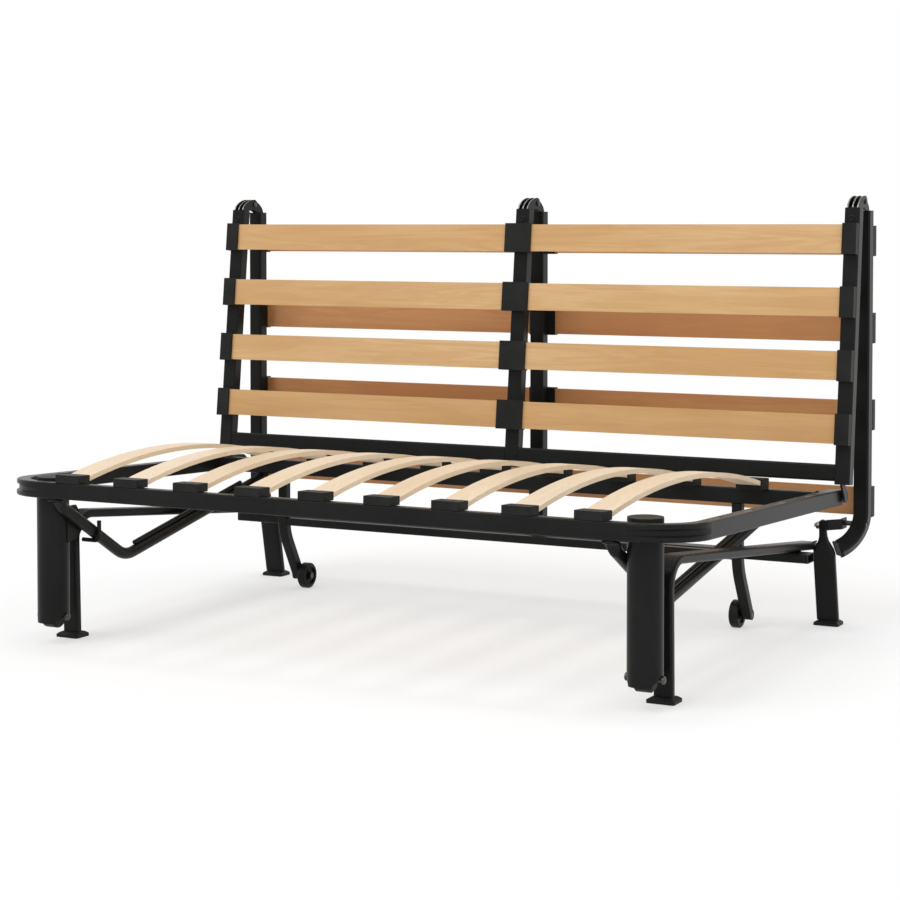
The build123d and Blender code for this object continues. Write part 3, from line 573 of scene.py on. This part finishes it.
def block(mesh, centre, directions, sizes, ease):
    """A six-sided piece with its edges eased."""
    made = bmesh.new()
    bmesh.ops.create_cube(made, size=1.0)
    turn = Matrix([list(direction) for direction in directions]).transposed()
    for vert in made.verts:
        local = Vector(vert.co[i] * sizes[i] for i in range(3))
        vert.co = turn @ local + Vector(centre)
    bmesh.ops.bevel(
        made, geom=list(made.edges), offset=ease, segments=2, affect="EDGES", profile=0.5
    )
    copies = {vert: mesh.verts.new(vert.co) for vert in made.verts}
    for face in made.faces:
        mesh.faces.new([copies[vert] for vert in face.verts])
    made.free()


def linked(name, data):
    """A new object in the scene."""
    obj = bpy.data.objects.new(name, data)
    bpy.context.scene.collection.objects.link(obj)
    return obj


SHARP_ANGLE = radians(35)


def piece(name, mesh, body, slot_name, look=None, rim=None):
    """Turns a bmesh into a piece that rides on a body.

    rim is the look of the faces that don't face along X.
    """
    bmesh.ops.recalc_face_normals(mesh, faces=list(mesh.faces))
    data = bpy.data.meshes.new(name)
    mesh.to_mesh(data)
    mesh.free()
    obj = linked(name, data)
    data.materials.append(look or looks[slot_name])
    for polygon in data.polygons:
        polygon.use_smooth = True
    data.set_sharp_from_angle(angle=SHARP_ANGLE)
    if rim:
        data.materials.append(rim)
        for polygon in data.polygons:
            if abs(polygon.normal.x) < 0.5:
                polygon.material_index = 1
    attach(obj, body)
    return obj


# Finger hinges: thin arched fins that fold past each other round one pin
FIN_THICKNESS = 0.0030
FIN_PITCH = 0.005
FIN_ROOT = 0.012
FIN_EASE = 0.0004
FIN_LIFT = 0.0004
FIN_FOOT_HALF = 0.0112
FIN_STEPS = 12
FIN_CURL = radians(145)
ARCH_POWER = 1.22
FRONT_FIN_REACH, FRONT_FIN_RADIUS = 0.0354, 0.0115
REAR_FIN_REACH, REAR_FIN_RADIUS = 0.031, 0.0104


def fin(mesh, x, up, across, distance, radius):
    """One fin: it arches from an upright's far edge over the hinge pin and back under it."""
    shoulder = FIN_LIFT - UPRIGHT_TOP_GAP
    far, near = distance + FIN_FOOT_HALF, distance - FIN_FOOT_HALF
    outline = []
    for step in range(FIN_STEPS + 1):
        angle = pi / 2 * step / FIN_STEPS
        arch = (cos(angle) ** ARCH_POWER, sin(angle) ** ARCH_POWER)
        outline.append((far * arch[0], shoulder + (radius - shoulder) * arch[1]))
    for step in range(1, FIN_STEPS + 1):
        angle = pi / 2 + FIN_CURL * step / FIN_STEPS
        outline.append((radius * cos(angle), radius * sin(angle)))
    outline += [(near, shoulder), (near, shoulder - FIN_ROOT), (far, shoulder - FIN_ROOT)]
    half = FIN_THICKNESS / 2
    # The outline shrinks towards this point at both faces, which eases their edges.
    middle = (distance * 0.4, -0.003)
    sections = (
        (-half, FIN_EASE),
        (FIN_EASE - half, 0),
        (half - FIN_EASE, 0),
        (half, FIN_EASE),
    )
    rings = []
    for offset, shrink in sections:
        ring = []
        for point in outline:
            inward = shrink / hypot(middle[0] - point[0], middle[1] - point[1])
            along = point[0] + (middle[0] - point[0]) * inward
            high = point[1] + (middle[1] - point[1]) * inward
            ring.append(TOP_HINGE + X_AXIS * (x + offset) + across * along + up * high)
        rings.append(ring)
    skin(mesh, rings)


def front_hinge_fins():
    mesh = bmesh.new()
    for place in UPRIGHT_PLACES:
        for step in (-2, 0, 2):
            x = place + step * FIN_PITCH
            fin(mesh, x, PANEL_UP, PANEL_FRONT, FRONT_FIN_REACH, FRONT_FIN_RADIUS)
    # Their rims take the lighter plate, which paints a highlight along the fin edges as well as wear.
    fins = piece("front_hinge_fins", mesh, "front_panel", "black_steel", rim=worn_and_highlight_edge)
    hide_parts("front_hinge_fingers")


def rear_hinge_fins():
    mesh = bmesh.new()
    for place in UPRIGHT_PLACES:
        for step in (-1, 1):
            x = place + step * FIN_PITCH
            fin(mesh, x, Z_AXIS, Y_AXIS, REAR_FIN_REACH, REAR_FIN_RADIUS)
    fins = piece("rear_hinge_fins", mesh, "rear_panel", "black_steel")
    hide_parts("rear_hinge_fingers")


def upright_rivets():
    """Dimpled rivets near the top of the front uprights."""
    profile = [(0, 0), (0.0062, 0), (0.0062, 0.0006), (0.0048, 0.0012), (0.0034, 0.0005), (0, 0.0004)]
    below_top = 0.021
    sunk = 0.0002
    height = (TOP_HINGE - SEAT_HINGE).dot(PANEL_UP) - UPRIGHT_TOP_GAP - below_top
    mesh = bmesh.new()
    for place in UPRIGHT_PLACES:
        start = panel_point(place, height, FRONT_UPRIGHT_FACE - sunk)
        lathe(mesh, start, PANEL_FRONT, profile, 24)
    piece("upright_rivets", mesh, "front_panel", "black_steel")


def hinge_pin_heads():
    """Riveted ends of the hinge pins at the top."""
    pin_half = 0.0135
    sunk = 0.0004
    mesh = bmesh.new()
    for place in UPRIGHT_PLACES:
        for side in SIDES:
            start = TOP_HINGE + X_AXIS * (place + side * (pin_half - sunk))
            dome(mesh, start, X_AXIS * side, 0.0058, 0.0014)
    piece("hinge_pin_heads", mesh, "rear_panel", "zinc_steel", look=dull_plate)


def seat_hinge_nuts():
    """Nuts with bolt ends on the inner side of the seat's side rails."""
    plate = 0.003
    nut_height = 0.0055
    mesh = bmesh.new()
    for side in SIDES:
        start = SEAT_HINGE + X_AXIS * (side * (SEAT_INNER_X - plate))
        inward = X_AXIS * -side
        nut(mesh, start, inward, nut_height)
        dome(mesh, start + inward * (nut_height - SUNK), inward, 0.0035, 0.003)
    piece("seat_hinge_nuts", mesh, "front_panel", "zinc_steel")


def tab_nuts():
    """Washer, nut and bolt end on the inner side of the rear legs' tabs."""
    tab_half = 0.005
    washer_radius = 0.0085
    nut_height = 0.006
    bolt = [(0, 0), (0.0038, 0), (0.0038, 0.003), (0.0032, 0.004), (0, 0.004)]
    mesh = bmesh.new()
    for side in SIDES:
        start = rear_leg_point(side * (REAR_LEG_X - tab_half), FOLD_PIVOT.z)
        inward = X_AXIS * -side
        washer(mesh, start, inward, washer_radius)
        nut(mesh, start + inward * WASHER_THICKNESS, inward, nut_height)
        lathe(mesh, start + inward * (WASHER_THICKNESS + nut_height - SUNK), inward, bolt, 16)
    piece("tab_nuts", mesh, "base", "zinc_steel")


def roller_axle_heads():
    """Rounded heads on both sides of the thick legs."""
    mesh = bmesh.new()
    for side in SIDES:
        for face in SIDES:
            start = Vector((side * LEG_X + face * LEG_HALF_WIDTH, LEG_Y, ROLLER_AXLE_HEIGHT))
            dome(mesh, start, X_AXIS * face, 0.0066, 0.0018)
    piece("roller_axle_heads", mesh, "seat", "zinc_steel", look=dull_plate)


# From round tube to flat end: depth, height, tilt of the section, half sizes, squareness
SUPPORT_SECTIONS = (
    (0.0365, 0.2560, 0.86, SUPPORT_RADIUS, SUPPORT_RADIUS, 2.0),
    (0.0335, 0.2577, 0.86, SUPPORT_RADIUS, SUPPORT_RADIUS, 2.0),
    (0.0290, 0.2618, 0.80, 0.0122, 0.0092, 2.2),
    (0.0245, 0.2672, 0.70, 0.0136, 0.0062, 2.6),
    (0.0200, 0.2720, 0.40, 0.0143, 0.0042, 3.0),
    (0.0150, 0.2746, 0.06, 0.0146, 0.0032, 3.2),
    (0.0080, 0.2751, 0.00, 0.0146, 0.0030, 3.2),
    (0.0040, 0.2752, 0.00, 0.0128, 0.0029, 2.6),
    (0.0022, 0.2753, 0.00, 0.0090, 0.0026, 2.2),
)


def support_tube_ends():
    """The support tubes' front ends, pressed flat against the front rail's underside."""
    mesh = bmesh.new()
    for side in SIDES:
        rings = []
        for depth, height, tilt, half_x, half_up, power in SUPPORT_SECTIONS:
            centre = Vector((side * SUPPORT_X, FRONT_Y + depth, height))
            tilted = Vector((0, tilt, 1)).normalized()
            rings.append(oval(centre, tilted, half_x, half_up, power))
        skin(mesh, rings)
    piece("support_tube_ends", mesh, "seat", "black_steel")


def rail_slot_painted_reflections():
    """Tan strips in the slots of the side rails: a painted reflection."""
    size = (0.0076, 0.0540, 0.0018)
    sunk = 0.0012
    mesh = bmesh.new()
    for side in SIDES:
        for along in SLOT_PLACES:
            centre = seat_point(side * SEAT_RAIL_X, along, -sunk)
            block(mesh, centre, (X_AXIS, SEAT_ALONG, SEAT_UP), size, 0.0003)
    piece("rail_slot_painted_reflections", mesh, "seat", "black_plastic", look=painted_slot_reflection)


# From flat tube to rounded tab: height and half sizes
REAR_LEG_SECTIONS = (
    (0.0101, 0.0215, 0.0080),
    (0.1380, 0.0215, 0.0080),
    (0.1460, 0.0210, 0.0080),
    (0.1540, 0.0186, 0.0079),
    (0.1620, 0.0140, 0.0077),
    (0.1700, 0.0096, 0.0074),
    (0.1780, 0.0074, 0.0070),
    (0.1880, 0.0069, 0.0067),
    (0.2020, 0.0068, 0.0067),
    (0.2065, 0.0060, 0.0066),
    (0.2095, 0.0043, 0.0064),
    (0.2110, 0.0020, 0.0060),
)


def rear_legs_pressed():
    """Rear legs: flat tube pressed to a tab with a rounded end."""
    mesh = bmesh.new()
    for side in SIDES:
        rings = []
        for height, half_x, half_y in REAR_LEG_SECTIONS:
            centre = rear_leg_point(side * REAR_LEG_X, height)
            rings.append(oval(centre, Y_AXIS, half_x, half_y, 5.0, 36))
        skin(mesh, rings)
    pressed_legs = piece("rear_legs_pressed", mesh, "base", "black_steel")
    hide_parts("rear_leg_left", "rear_leg_right")


def rear_upright_stops():
    """Plastic stops in the bent lower ends of the rear uprights."""
    size = (0.0285, 0.0030, 0.0268)
    mesh = bmesh.new()
    for side in SIDES:
        inward = Vector((-side * sin(BEND_HEADING), -cos(BEND_HEADING), 0))
        start = Vector((side * UPRIGHT_X, REAR_UPRIGHT_Y, BEND_START))
        tip = start + inward * (BEND_RADIUS * (1 - cos(BEND_ANGLE)))
        tip -= Z_AXIS * (BEND_RADIUS * sin(BEND_ANGLE))
        along = inward * sin(BEND_ANGLE) - Z_AXIS * cos(BEND_ANGLE)
        across = inward.cross(Z_AXIS)
        directions = (across, along, across.cross(along))
        block(mesh, tip + along * 0.0006, directions, size, 0.0010)
    piece("rear_upright_stops", mesh, "rear_panel", "black_plastic")


def seat_weld_beads():
    """Welds of the rear rail, the wheel legs under it and the tie between those legs."""
    low, end_gap = -SEAT_TUBE_HEIGHT, 0.004
    tie_gap = 0.002
    rear_depths = (REAR_RAIL_DEPTH, REAR_RAIL_DEPTH + SEAT_TUBE_WIDTH)
    leg_top = seat_point(0, REAR_RAIL_DEPTH, low).z
    # The rail's underside falls to the rear, and the welds of the wheel legs with it.
    leg_weld = ((0.002, 0.0002), (0.018, 0.0008))
    mesh = bmesh.new()
    for side in SIDES:
        inner = side * SEAT_INNER_X
        for depth in rear_depths:
            start = seat_point(inner, depth, -end_gap)
            weld(mesh, start, seat_point(inner, depth, low + end_gap), side + depth)
        start = seat_point(inner, rear_depths[0] + end_gap)
        end = seat_point(inner, rear_depths[1] - end_gap)
        weld(mesh, start, end, radius=SMALL_WELD)
        for edge in SIDES:
            x = side * WHEEL_LEG_X + edge * WHEEL_LEG_HALF
            start, end = (
                Vector((x, FRONT_Y + REAR_RAIL_DEPTH + along, leg_top - fall))
                for along, fall in leg_weld
            )
            weld(mesh, start, end, x)
        x = side * (WHEEL_LEG_X - WHEEL_LEG_HALF)
        for edge in SIDES:
            height = TIE_HEIGHT + edge * TIE_SIZE / 2
            start = Vector((x, FRONT_Y + TIE_DEPTH + tie_gap, height))
            end = Vector((x, FRONT_Y + TIE_DEPTH + TIE_SIZE - tie_gap, height))
            weld(mesh, start, end, x, SMALL_WELD)
    piece("seat_weld_beads", mesh, "seat", "black_steel")


def base_weld_beads():
    """Welds of the cross tube under the side rails, and of the rails at the rear legs."""
    half_width = 0.014
    leg_face = BASE_RAIL_X + 0.0172
    leg_depth = 0.862
    under = base_rail_height(CROSS_DEPTH + CROSS_SIZE) - 0.0002
    top = base_rail_height(leg_depth) + BASE_TUBE_HEIGHT
    mesh = bmesh.new()
    for side in SIDES:
        for depth in (CROSS_DEPTH, CROSS_DEPTH + CROSS_SIZE):
            start = Vector((side * (BASE_RAIL_X - half_width), FRONT_Y + depth, under))
            end = Vector((side * (BASE_RAIL_X + half_width), FRONT_Y + depth, under))
            weld(mesh, start, end, side + depth)
        for height in (top, top - BASE_TUBE_HEIGHT):
            start = Vector((side * leg_face, FRONT_Y + leg_depth - 0.004, height))
            end = Vector((side * leg_face, FRONT_Y + leg_depth + 0.012, height))
            weld(mesh, start, end, side + height)
    piece("base_weld_beads", mesh, "base", "black_steel")


def front_panel_weld_beads():
    """Welds of the bottom rail between the front uprights."""
    low, high = BOTTOM_RAIL_LOW + 0.004, BOTTOM_RAIL_HIGH - 0.004
    mesh = bmesh.new()
    for place in UPRIGHT_PLACES:
        for edge in SIDES:
            inner = place + edge * UPRIGHT_WIDTH / 2
            if abs(inner) > UPRIGHT_X:
                continue
            for face in SIDES:
                front = FRONT_UPRIGHT_MIDDLE + face * BOTTOM_RAIL_HALF
                start = panel_point(inner, low, front)
                weld(mesh, start, panel_point(inner, high, front), inner + face)
    piece("front_panel_weld_beads", mesh, "front_panel", "black_steel")


def upright_plugs():
    """Plastic plugs in the open lower ends of the two middle uprights."""
    size = (UPRIGHT_WIDTH - 0.001, UPRIGHT_THICKNESS - 0.001, 0.0026)
    ease = 0.0009
    mesh = bmesh.new()
    centre = panel_point(0.0, 0.0212, FRONT_UPRIGHT_MIDDLE)
    block(mesh, centre, (X_AXIS, PANEL_FRONT, PANEL_UP), size, ease)
    piece("front_upright_plug", mesh, "front_panel", "black_plastic")
    mesh = bmesh.new()
    centre = Vector((0.0, REAR_UPRIGHT_Y, REAR_UPRIGHT_FOOT))
    block(mesh, centre, (X_AXIS, Y_AXIS, Z_AXIS), size, ease)
    piece("rear_upright_plug", mesh, "rear_panel", "black_plastic")


def wheel_beads():
    """A raised bead round the recess of each wheel."""
    outer, crest, inner = 0.0198, 0.0190, 0.0182
    shoulder, top = 0.0022, 0.0028
    profile = [(outer, 0), (outer, shoulder), (crest, top), (inner, shoulder), (inner, 0)]
    outset = 0.0015
    for side, word in zip(SIDES, ("left", "right")):
        mesh = bmesh.new()
        centre = Vector((side * WHEEL_FACE, WHEEL_Y, WHEEL_RADIUS))
        lathe(mesh, centre + X_AXIS * (side * outset), X_AXIS * -side, profile, 48)
        piece(f"wheel_bead_{word}", mesh, f"wheel_{word}", "wheel_plastic")


front_hinge_fins()
rear_hinge_fins()
upright_rivets()
hinge_pin_heads()
seat_hinge_nuts()
tab_nuts()
roller_axle_heads()
support_tube_ends()
rail_slot_painted_reflections()
rear_legs_pressed()
rear_upright_stops()
seat_weld_beads()
base_weld_beads()
front_panel_weld_beads()
upright_plugs()
wheel_beads()

# Camera, as the photograph was taken
camera_data = bpy.data.cameras.new("camera")
camera_data.lens = 84.32
camera_data.sensor_width = 36.0
camera_data.sensor_fit = "HORIZONTAL"
camera_data.shift_y = -0.163
camera = linked("camera", camera_data)
camera.location = (1.8775, -3.5585, 0.780)
camera.rotation_euler = (radians(87.9), 0.0, radians(27.54))
bpy.context.scene.camera = camera


def seen_directly(tree):
    """1 for camera, glossy and transmission rays, and 0 for the others."""
    path = tree.nodes.new("ShaderNodeLightPath")
    seen = path.outputs["Is Camera Ray"]
    for ray in ("Is Glossy Ray", "Is Transmission Ray"):
        either = tree.nodes.new("ShaderNodeMath")
        either.operation = "MAXIMUM"
        tree.links.new(seen, either.inputs[0])
        tree.links.new(path.outputs[ray], either.inputs[1])
        seen = either.outputs["Value"]
    return seen


# Floor: pale and plain. It keeps the frame's shadow, lightened near the frame by a painted white glow
# to the camera and in reflections, and turns wholly white away from it.
FLOOR_REACH = 40.0
SHADOW_NEAR, SHADOW_FAR = 0.9, 2.4
# WHITE_NEAR is the share of that painted glow next to the frame.
WHITE_NEAR = 0.45


def white_floor():
    mesh = bpy.data.meshes.new("floor")
    reach = FLOOR_REACH
    corners = [(-reach, -reach, 0), (reach, -reach, 0), (reach, reach, 0), (-reach, reach, 0)]
    mesh.from_pydata(corners, [], [(0, 1, 2, 3)])
    look = Finish("floor_white")
    tone = look.noise(look.place, 3.0, detail=2.0)
    look.paint(look.ramp(tone, [(0.0, srgb(250, 250, 250)), (1.0, srgb(253, 253, 253))]))
    look.fixed(Roughness=0.9, Specular_IOR_Level=0.0)
    glow = look.nodes.new("ShaderNodeEmission")
    blend = look.nodes.new("ShaderNodeMixShader")
    away = look.nodes.new("ShaderNodeVectorMath")
    away.operation = "LENGTH"
    look.join(look.place, away.inputs[0])
    white = look.spread(away.outputs["Value"], WHITE_NEAR, 1.0, SHADOW_NEAR, SHADOW_FAR)
    look.join(look.math("MULTIPLY", white, seen_directly(look.tree)), blend.inputs["Fac"])
    look.join(look.shader.outputs["BSDF"], blend.inputs[1])
    look.join(glow.outputs["Emission"], blend.inputs[2])
    look.join(blend.outputs["Shader"], look.nodes["Material Output"].inputs["Surface"])
    mesh.materials.append(look.material)
    return linked("floor", mesh)


white_floor()

# World: white to the camera and in reflections, a soft fill elsewhere
FILL = 0.70
world = bpy.data.worlds.new("studio")
world.use_nodes = True
bpy.context.scene.world = world
world_tree = world.node_tree
strength = world_tree.nodes.new("ShaderNodeMapRange")
strength.inputs["To Min"].default_value = FILL
strength.inputs["To Max"].default_value = 1.0
background = world_tree.nodes["Background"]
background.inputs["Color"].default_value = (1.0, 1.0, 1.0, 1.0)
world_tree.links.new(seen_directly(world_tree), strength.inputs["Value"])
world_tree.links.new(strength.outputs["Result"], background.inputs["Strength"])


def sun(name, energy, spread, elevation, heading):
    """A broad soft light; heading 0 shines from the front, positive from the right."""
    data = bpy.data.lights.new(name, "SUN")
    data.energy = energy
    data.angle = radians(spread)
    up, turn = radians(elevation), radians(heading)
    towards = Vector((sin(turn) * cos(up), -cos(turn) * cos(up), sin(up)))
    light = linked(name, data)
    light.rotation_mode = "QUATERNION"
    light.rotation_quaternion = towards.to_track_quat("Z", "Y")


sun("key", energy=1.00, spread=40, elevation=50, heading=-25)
sun("side", energy=0.30, spread=60, elevation=30, heading=65)
sun("edge", energy=0.20, spread=8, elevation=25, heading=110)
sun("glint", energy=0.30, spread=14, elevation=80, heading=200)

bpy.context.scene.view_settings.view_transform = "Standard"
